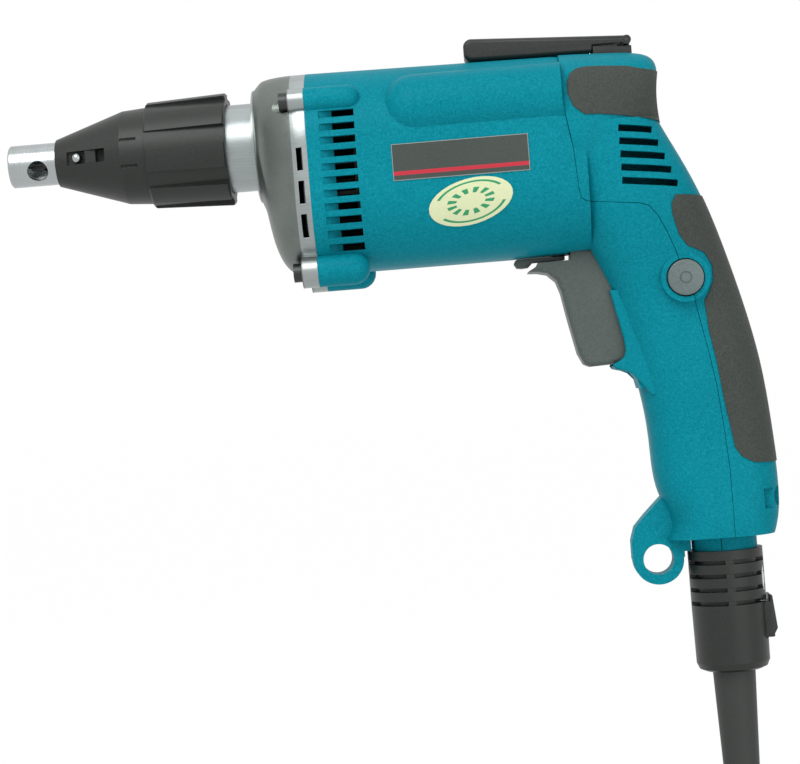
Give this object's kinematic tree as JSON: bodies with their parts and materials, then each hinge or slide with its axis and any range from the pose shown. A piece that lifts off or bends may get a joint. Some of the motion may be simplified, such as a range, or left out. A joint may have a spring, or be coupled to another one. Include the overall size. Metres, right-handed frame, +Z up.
{
  "type": "drywall screwdriver",
  "caption": "Corded pistol-grip drywall screwdriver with a depth-setting nose, trigger, reversing lever, lock button, folding belt hook and plug-in cord.",
  "frame": {"origin": "centre of the handle where a hand grips it, in the tool's middle plane", "axes": "+X from the nose to the handle along the spindle axis, +Z up from the cord end to the belt hook, -Y the side with the lock button and the label"},
  "size_m": [0.2793, 0.0744, 0.4424],
  "materials": {
    "teal_plastic": "satin, finely grained",
    "black_plastic": "satin, moulded",
    "grey_plastic": "satin, moulded",
    "grip_rubber": "matte, finely textured",
    "die_cast": "bead blasted",
    "steel": "turned",
    "dark_steel": "blackened",
    "spring_steel": "drawn wire",
    "bronze": "sintered",
    "copper": "enamelled wire",
    "lamination": "stacked sheet",
    "magnet": "ground",
    "carbon": "pressed carbon",
    "capacitor_case": "dipped",
    "label_grey": "printed film",
    "sticker": "printed film",
    "cord_rubber": "matte sheath",
    "tie_plastic": "moulded",
    "pin_metal": "plated"
  },
  "bodies": {
    "housing": {"air_baffle": "black_plastic", "bearing_bracket": "black_plastic", "bearing_plate": "die_cast", "brush_holders": "bronze", "brush_springs": "spring_steel", "carbon_brushes": "carbon", "connector_body": "black_plastic", "connector_boot": "black_plastic", "cord_guard": "cord_rubber", "cord_tie": "tie_plastic", "cover_screws": "dark_steel", "front_bearing": "steel", "gear_bush": "bronze", "gear_housing": "die_cast", "gear_housing_screws": "dark_steel", "handle_collar": "teal_plastic", "handle_grip_pad": "grip_rubber", "hook_base": "black_plastic", "hook_pin": "steel", "label_plate": "label_grey", "lock_spring": "spring_steel", "mains_plug": "black_plastic", "motor_housing": "teal_plastic", "noise_capacitor": "capacitor_case", "oval_sticker": "sticker", "plug_pins": "pin_metal", "power_cord_coil": "cord_rubber", "power_cord_lead": "cord_rubber", "power_cord_tail": "cord_rubber", "rear_bearing": "steel", "rear_cover": "teal_plastic", "snap_ring": "dark_steel", "spindle_bush": "bronze", "spindle_seal": "cord_rubber", "stator_coils": "copper", "stator_core": "lamination", "switch_body": "black_plastic", "trigger_spring": "spring_steel", "upper_grip_pad": "grip_rubber"},
    "armature": {"armature_shaft": "steel", "rotor_core": "lamination", "rotor_windings": "copper", "commutator": "copper", "cooling_fan": "black_plastic"},
    "gear": {"drive_gear": "steel", "clutch_spring": "spring_steel"},
    "spindle": {"spindle": "steel", "bit_holder": "steel", "holder_magnet": "magnet", "screw_bit": "dark_steel"},
    "sleeve": {"depth_sleeve": "black_plastic", "detent_ball": "steel", "detent_block": "black_plastic"},
    "locator": {"nose_locator": "steel"},
    "trigger": {"trigger": "grey_plastic"},
    "reverse_lever": {"reverse_lever": "grey_plastic"},
    "lock_button": {"lock_button": "grey_plastic"},
    "hook": {"belt_hook": "black_plastic"},
    "latch": {"release_latch": "black_plastic"}
  },
  "joints": [
    {"name": "motor_spin", "type": "hinge", "parent": "housing", "child": "armature", "pos_m": [0, 0, 0.0685], "axis": [1, 0, 0], "continuous": true},
    {"name": "gear_spin", "type": "hinge", "parent": "housing", "child": "gear", "pos_m": [0, 0, 0.085], "axis": [1, 0, 0], "continuous": true},
    {"name": "spindle_push", "type": "slide", "parent": "gear", "child": "spindle", "axis": [1, 0, 0], "range_m": [0, 0.003], "stiffness_N_per_m": 3000, "deforming": ["clutch_spring"]},
    {"name": "sleeve_turn", "type": "hinge", "parent": "housing", "child": "sleeve", "pos_m": [0, 0, 0.085], "axis": [1, 0, 0], "range_deg": [-720, 720]},
    {"name": "locator_slide", "type": "slide", "parent": "housing", "child": "locator", "axis": [1, 0, 0], "range_m": [-0.0031, 0.0031]},
    {"name": "trigger_pull", "type": "slide", "parent": "housing", "child": "trigger", "axis": [1, 0, 0], "range_m": [0, 0.006], "stiffness_N_per_m": 800, "deforming": ["trigger_spring"]},
    {"name": "reverse_lever_swing", "type": "hinge", "parent": "housing", "child": "reverse_lever", "pos_m": [-0.045, 0, 0.0345], "axis": [0, 0, 1], "range_deg": [-10, 10]},
    {"name": "lock_press", "type": "slide", "parent": "housing", "child": "lock_button", "axis": [0, 1, 0], "range_m": [0, 0.0024], "stiffness_N_per_m": 500, "deforming": ["lock_spring"]},
    {"name": "hook_lift", "type": "hinge", "parent": "housing", "child": "hook", "pos_m": [-0.0138, 0, 0.1126], "axis": [0, 1, 0], "range_deg": [0, 95]},
    {"name": "latch_press", "type": "hinge", "parent": "housing", "child": "latch", "pos_m": [0.0184, 0, -0.1029], "axis": [0, 1, 0], "range_deg": [0, 5], "stiffness_Nm_per_rad": 0.3}
  ],
  "couplings": [
    {"joint": "gear_spin", "follows": "motor_spin", "ratio": -0.22222},
    {"joint": "locator_slide", "follows": "sleeve_turn", "m_per_rad": 0.00023873}
  ]
}
